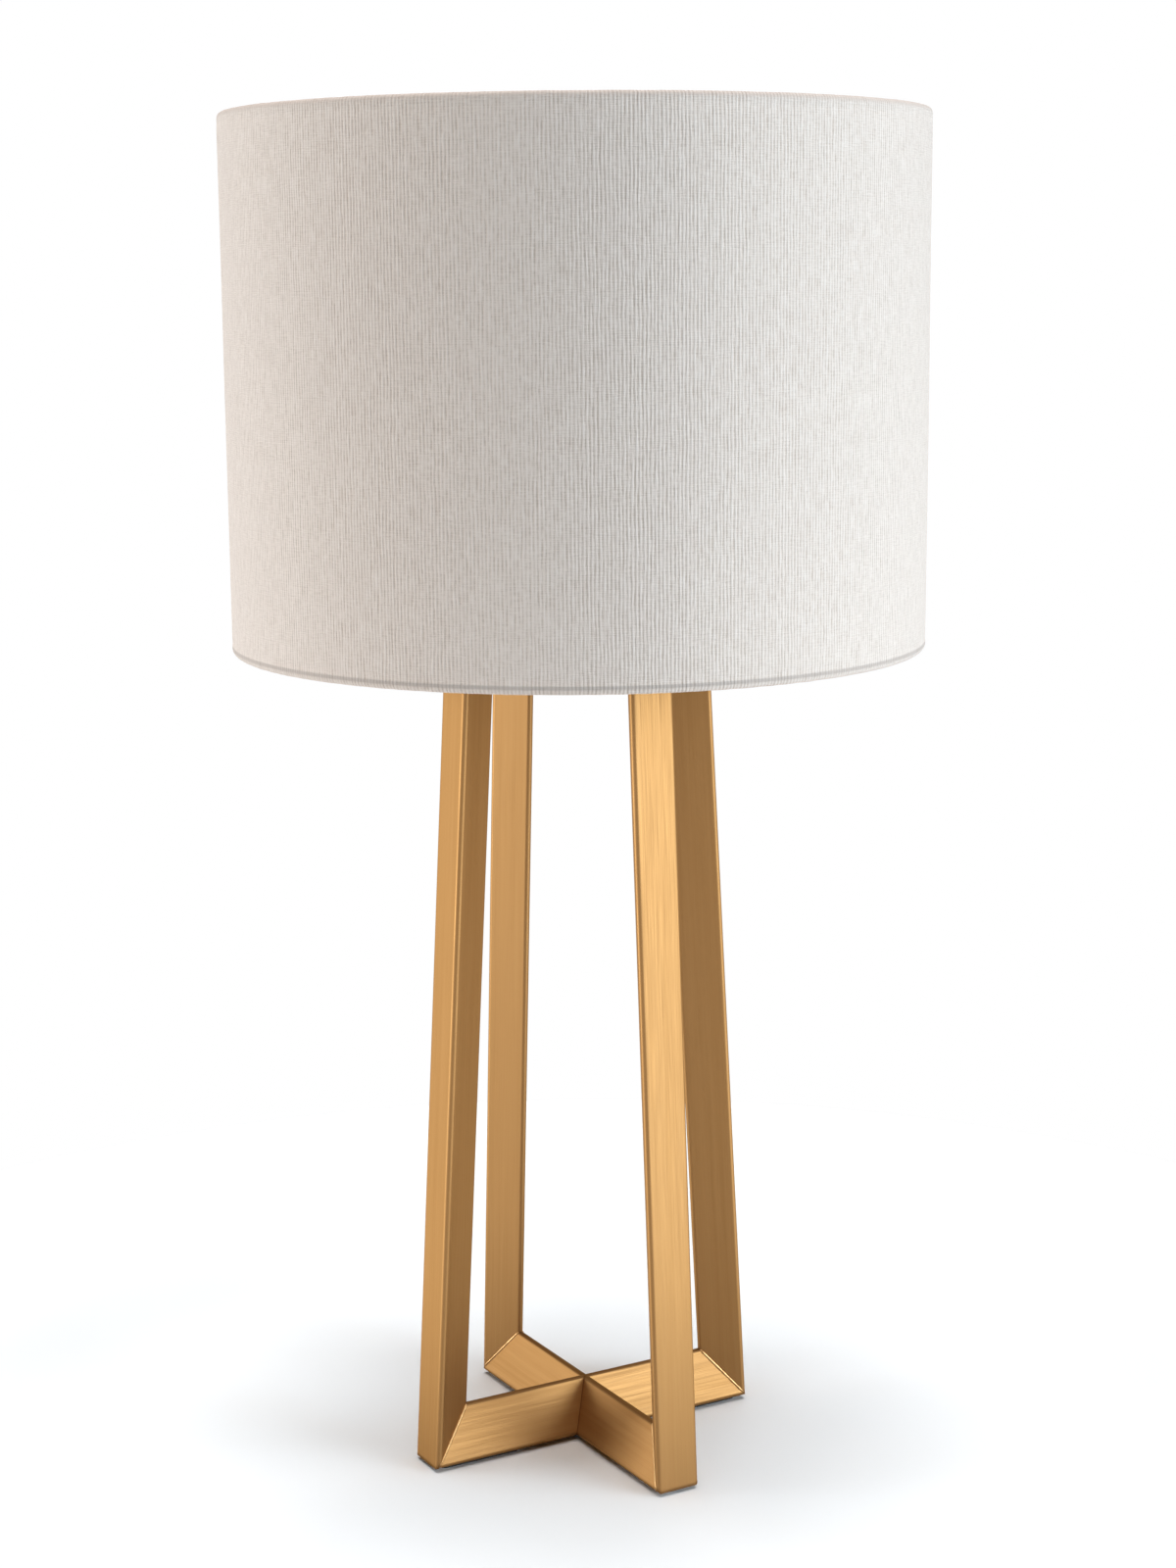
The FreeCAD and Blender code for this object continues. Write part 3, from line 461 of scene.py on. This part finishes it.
# ---- Linen cover ----
def cover_profile(low, high, radius):
    """The linen's outer line from the end of the top hem over the wall to the end of the
    bottom hem, as (radius, height, part) with part the stretch that the point is in."""
    points = []
    hem_radius = radius - 2 * ROLL_RADIUS
    hem_rise = HEM_HEIGHT - ROLL_RADIUS
    roll_centre = radius - ROLL_RADIUS
    wall_top, wall_bottom = high - ROLL_RADIUS, low + ROLL_RADIUS
    for row in range(HEM_ROWS):
        points.append((hem_radius, high - HEM_HEIGHT + hem_rise * row / HEM_ROWS, "top_hem"))
    for row in range(ROLL_ROWS + 1):
        angle = math.pi * (1 - row / ROLL_ROWS)
        points.append((
            roll_centre + ROLL_RADIUS * math.cos(angle),
            wall_top + ROLL_RADIUS * math.sin(angle), "top_roll",
        ))
    for row in range(1, WALL_ROWS):
        share = row / WALL_ROWS
        share = 0.5 - 0.5 * math.cos(math.pi * share)
        height = wall_top + (wall_bottom - wall_top) * share
        points.append((radius, height, "wall"))
    for row in range(ROLL_ROWS + 1):
        angle = -math.pi * row / ROLL_ROWS
        points.append((
            roll_centre + ROLL_RADIUS * math.cos(angle),
            wall_bottom + ROLL_RADIUS * math.sin(angle), "bottom_roll",
        ))
    for row in range(1, HEM_ROWS + 1):
        points.append((hem_radius, wall_bottom + hem_rise * row / HEM_ROWS, "bottom_hem"))
    return points


def seam_offset(bearing, radius):
    """The overlap at the back stands proud by one more layer, with a folded edge on one side."""
    along = (bearing - SEAM_BEARING + math.pi) % (2 * math.pi) - math.pi
    along *= radius
    rise = smooth_step(-SEAM_WIDTH / 2 - SEAM_FOLD, -SEAM_WIDTH / 2, along)
    fall = 1 - smooth_step(SEAM_WIDTH / 2, SEAM_WIDTH / 2 + SEAM_FADE, along)
    return SEAM_STEP * rise * fall


def groove_share(from_edge):
    """-1 in the shallow groove next to each rolled edge, and 0 over the rest of the wall."""
    fall = smooth_step(0.0, GROOVE_START, from_edge)
    return -fall * (1 - smooth_step(GROOVE_START, GROOVE_END, from_edge))


def arm_share(bearing, radius):
    """1 well away from the arms and 0 where one passes through the lower hem."""
    turns = ((bearing - arm + math.pi) % (2 * math.pi) - math.pi for arm in ARM_BEARINGS)
    nearest = min(abs(turn) for turn in turns)
    return smooth_step(
        HEM_NOTCH_HALF_WIDTH, HEM_NOTCH_HALF_WIDTH + HEM_NOTCH_FADE, nearest * radius,
    )


def linen_cover(material):
    box_low, box_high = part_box("linen_cover")
    low, high = box_low[2], box_high[2]
    radius = (box_high[0] - box_low[0]) / 2 + WALL_SPARE
    wall_low, wall_high = low + ROLL_RADIUS, high - ROLL_RADIUS
    profile = cover_profile(low, high, radius)
    lengths = [0.0]
    for (r0, z0, _), (r1, z1, _) in zip(profile, profile[1:]):
        lengths.append(lengths[-1] + math.hypot(r1 - r0, z1 - z0))
    vertices = []
    for row, (ring_radius, height, part) in enumerate(profile):
        for column in range(COVER_COLUMNS):
            bearing = 2 * math.pi * column / COVER_COLUMNS
            place = Vector((math.cos(bearing) * 3.1, math.sin(bearing) * 3.1, height * 11))
            wave = noise.noise(place) * WALL_WAVE
            away = ring_radius + seam_offset(bearing, radius)
            level = height
            if part == "wall":
                from_edge = min(height - wall_low, wall_high - height)
                wander = wave + GROOVE * groove_share(from_edge)
                away += wander * smooth_step(0.0, WALL_BLEND, from_edge)
            if part in ("top_roll", "bottom_roll"):
                fine = Vector((math.cos(bearing) * 24, math.sin(bearing) * 24, height * 40))
                level += noise.noise(fine) * EDGE_WAVE * (-1 if part == "top_roll" else 1)
            if part == "bottom_hem":
                full = height - wall_low
                kept = HEM_AT_ARM + (full - HEM_AT_ARM) * arm_share(bearing, radius)
                level = wall_low + min(full, kept)
                away = ring_radius
            if part == "top_hem":
                away = ring_radius
            vertices.append((away * math.cos(bearing), away * math.sin(bearing), level))
    faces = []
    for row in range(len(profile) - 1):
        for column in range(COVER_COLUMNS):
            after = (column + 1) % COVER_COLUMNS
            start, following = row * COVER_COLUMNS, (row + 1) * COVER_COLUMNS
            face = (start + column, following + column, following + after, start + after)
            faces.append(face)
    piece = mesh_object("linen_cover_cloth", vertices, faces, material)
    uv = piece.data.uv_layers.new(name="metres")
    round_length = 2 * math.pi * radius
    for polygon in piece.data.polygons:
        row, column = divmod(polygon.index, COVER_COLUMNS)
        corners = ((row, column), (row + 1, column), (row + 1, column + 1), (row, column + 1))
        for loop, (corner_row, corner_column) in zip(polygon.loop_indices, corners):
            across = round_length * corner_column / COVER_COLUMNS
            uv.data[loop].uv = (across, lengths[corner_row])
    solid = piece.modifiers.new("thickness", "SOLIDIFY")
    solid.thickness = LINEN_THICKNESS
    solid.offset = -1.0
    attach(piece, "shade")
    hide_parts("linen_cover")
    return piece


def painted_shade_lines():
    """Where the painted shadow lines lie along the linen, counted from the end of its top hem."""
    box_low, box_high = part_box("linen_cover")
    rolled = HEM_HEIGHT - ROLL_RADIUS + math.pi * ROLL_RADIUS
    wall = box_high[2] - box_low[2] - 2 * ROLL_RADIUS
    top_offset, top_half_width = TOP_SHADE_LINE
    bottom_offset, bottom_half_width = BOTTOM_SHADE_LINE
    return [
        (rolled - top_offset, top_half_width),
        (rolled + wall - bottom_offset, bottom_half_width),
    ]


linen_cover(linen("linen_weave", painted_shade_lines()))


# ---- Welds along the mitres at the feet ----
FOOT_LOW = 0.002
MITRE_RUN = 0.02362                       # level distance from the outer corner to the inner one
MITRE_RISE = 0.028
TUBE_HALF_WIDTH = 0.0119
SLOPE_FOOT = 0.0132                       # half width of a tube's slopes at its flat side
SLOPE_RUN = 0.01195                       # what it loses from there to the ridge
WELD_RADIUS = 0.0007
WELD_WANDER = 0.35                        # share of the radius
WELD_STEPS = 28
WELD_LENGTH = 0.93                        # share of the slopes that it runs down
WELD_SIDES = 8


def weld_path(side):
    """The line where the slopes of the leg on +X and its bar meet, from the ridge outwards."""
    path = []
    for step in range(WELD_STEPS + 1):
        share = 1 - WELD_LENGTH * step / WELD_STEPS
        away = min(SLOPE_FOOT - SLOPE_RUN * share, TUBE_HALF_WIDTH)
        away *= smooth_step(1.0, 0.96, share)
        place = (FOOT_OUT - MITRE_RUN * share, side * away, FOOT_LOW + MITRE_RISE * share)
        path.append(Vector(place))
    return path


def weld_bead(name, path, material):
    """A thin bead whose thickness wanders along the path, with rounded ends."""
    vertices, faces = [], []
    for index, place in enumerate(path):
        before = path[max(index - 1, 0)]
        after = path[min(index + 1, len(path) - 1)]
        along = (after - before).normalized()
        across = along.cross(Vector((0, 0, 1))).normalized()
        over = across.cross(along)
        share = index / (len(path) - 1)
        end = math.sqrt(max(1 - (2 * share - 1) ** 8, 0.0))
        radius = WELD_RADIUS * (1 + WELD_WANDER * noise.noise(place * 420)) * end + 0.00002
        radius *= 1 + 0.5 * (1 - smooth_step(0.0, 0.12, share))
        for side in range(WELD_SIDES):
            angle = 2 * math.pi * side / WELD_SIDES
            outward = across * math.cos(angle) + over * math.sin(angle)
            vertices.append(place + outward * radius)
    rings = len(path)
    for ring in range(rings - 1):
        for side in range(WELD_SIDES):
            after = (side + 1) % WELD_SIDES
            start, following = ring * WELD_SIDES, (ring + 1) * WELD_SIDES
            face = (start + side, start + after, following + after, following + side)
            faces.append(face)
    faces.append(tuple(range(WELD_SIDES))[::-1])
    faces.append(tuple((rings - 1) * WELD_SIDES + side for side in range(WELD_SIDES)))
    piece = mesh_object(name, vertices, faces, material)
    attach(piece, "base")
    return piece


def foot_welds():
    # The welds are the tubes' brass made lighter: a painted highlight along each mitre.
    material = plain_metal(
        "brass_weld_painted_highlight", (0.62, 0.38, 0.17), (0.40, 0.22, 0.085), 0.30, 0.48,
    )
    for foot, bearing in (("right", 0), ("back", 90), ("left", 180), ("front", 270)):
        turn = Matrix.Rotation(math.radians(bearing), 3, "Z")
        for side, label in ((-1, "a"), (1, "b")):
            path = [turn @ place for place in weld_path(side)]
            weld_bead(f"weld_{foot}_{label}", path, material)


foot_welds()


def stage_plain():
    """Pale floor and a white surround."""
    floor_material = Nodes("floor_pale")
    clouds = floor_material.noise(floor_material.coordinates((3, 3, 3)), detail=2.0)
    colour = floor_material.ramp(clouds, [(0.3, FLOOR_DARK), (0.7, FLOOR_LIGHT)])
    floor_material.finish(colour, 0.9, Specular_IOR_Level=0.1)
    corners = []
    for index in range(FLOOR_CORNERS):
        bearing = 2 * math.pi * index / FLOOR_CORNERS
        corners.append((FLOOR_RADIUS * math.cos(bearing), FLOOR_RADIUS * math.sin(bearing), 0))
    face = tuple(range(FLOOR_CORNERS))
    floor = mesh_object("floor", corners, [face], floor_material.material, smooth=False)

    world = bpy.data.worlds.new("surround")
    bpy.context.scene.world = world
    world.use_nodes = True
    tree = world.node_tree
    tree.nodes.clear()
    path = tree.nodes.new("ShaderNodeLightPath")
    seen = tree.nodes.new("ShaderNodeMath")
    seen.operation = "MAXIMUM"
    seen_or_through = tree.nodes.new("ShaderNodeMath")
    seen_or_through.operation = "MAXIMUM"
    tree.links.new(path.outputs["Is Camera Ray"], seen.inputs[0])
    tree.links.new(path.outputs["Is Glossy Ray"], seen.inputs[1])
    tree.links.new(seen.outputs["Value"], seen_or_through.inputs[0])
    tree.links.new(path.outputs["Is Transmission Ray"], seen_or_through.inputs[1])
    lighting = tree.nodes.new("ShaderNodeBackground")
    lighting.inputs["Color"].default_value = WHITE_SURROUND
    lighting.inputs["Strength"].default_value = WORLD_LIGHT
    white = tree.nodes.new("ShaderNodeBackground")
    white.inputs["Color"].default_value = WHITE_SURROUND
    white.inputs["Strength"].default_value = 1.0
    mix = tree.nodes.new("ShaderNodeMixShader")
    output = tree.nodes.new("ShaderNodeOutputWorld")
    tree.links.new(seen_or_through.outputs["Value"], mix.inputs["Fac"])
    tree.links.new(lighting.outputs["Background"], mix.inputs[1])
    tree.links.new(white.outputs["Background"], mix.inputs[2])
    tree.links.new(mix.outputs["Shader"], output.inputs["Surface"])


# Each soft lamp: name, bearing, elevation, strength, spread, colour.
LAMPS = [
    ("lamp_right", 65, 6, 4.05, 44, (0.71, 0.87, 1.0)),
    ("lamp_left", -86, 2, 3.10, 26, (0.85, 0.94, 1.0)),
]
for index in range(OVERHEAD_COUNT):
    turn = OVERHEAD_TURN + index * 360 / OVERHEAD_COUNT
    LAMPS.append((
        f"lamp_above_{index + 1}", turn, 90 - OVERHEAD_TILT,
        OVERHEAD_STRENGTH, OVERHEAD_SPREAD, (1.0, 1.0, 1.0),
    ))


def soft_lamps():
    for name, right_of_camera, elevation, strength, spread, colour in LAMPS:
        bearing = CAMERA_BEARING + math.radians(right_of_camera)
        rise = math.radians(elevation)
        level = math.cos(rise)
        towards = Vector((math.cos(bearing) * level, math.sin(bearing) * level, math.sin(rise)))
        lamp = bpy.data.lights.new(name, "SUN")
        lamp.energy = strength
        lamp.angle = math.radians(spread)
        lamp.color = colour
        holder = bpy.data.objects.new(name, lamp)
        holder.rotation_euler = towards.to_track_quat("Z", "Y").to_euler()
        holder.location = towards * LAMP_DISTANCE
        bpy.context.scene.collection.objects.link(holder)


def camera():
    """The photograph's view: place, direction and lens."""
    place = Vector((
        CAMERA_DISTANCE * math.cos(CAMERA_BEARING), CAMERA_DISTANCE * math.sin(CAMERA_BEARING),
        CAMERA_HEIGHT,
    ))
    heading = CAMERA_BEARING + math.pi - CAMERA_SWING
    level = math.cos(CAMERA_PITCH)
    forward = Vector((
        math.cos(heading) * level, math.sin(heading) * level, -math.sin(CAMERA_PITCH),
    ))
    level_right = Vector((math.sin(heading), -math.cos(heading), 0))
    level_up = level_right.cross(forward)
    right = level_right * math.cos(CAMERA_ROLL) + level_up * math.sin(CAMERA_ROLL)
    upward = level_up * math.cos(CAMERA_ROLL) - level_right * math.sin(CAMERA_ROLL)
    data = bpy.data.cameras.new("camera")
    data.sensor_fit = "VERTICAL"
    data.sensor_height = SENSOR_HEIGHT
    data.lens = FOCAL_PIXELS / FRAME_HEIGHT_PIXELS * SENSOR_HEIGHT
    data.clip_start = 0.01
    data.clip_end = 100
    holder = bpy.data.objects.new("camera", data)
    turn = Matrix((right, upward, -forward)).transposed().to_4x4()
    holder.matrix_world = Matrix.Translation(place) @ turn
    bpy.context.scene.collection.objects.link(holder)
    bpy.context.scene.camera = holder


stage_plain()
soft_lamps()
camera()

bpy.context.scene.view_settings.view_transform = "Standard"
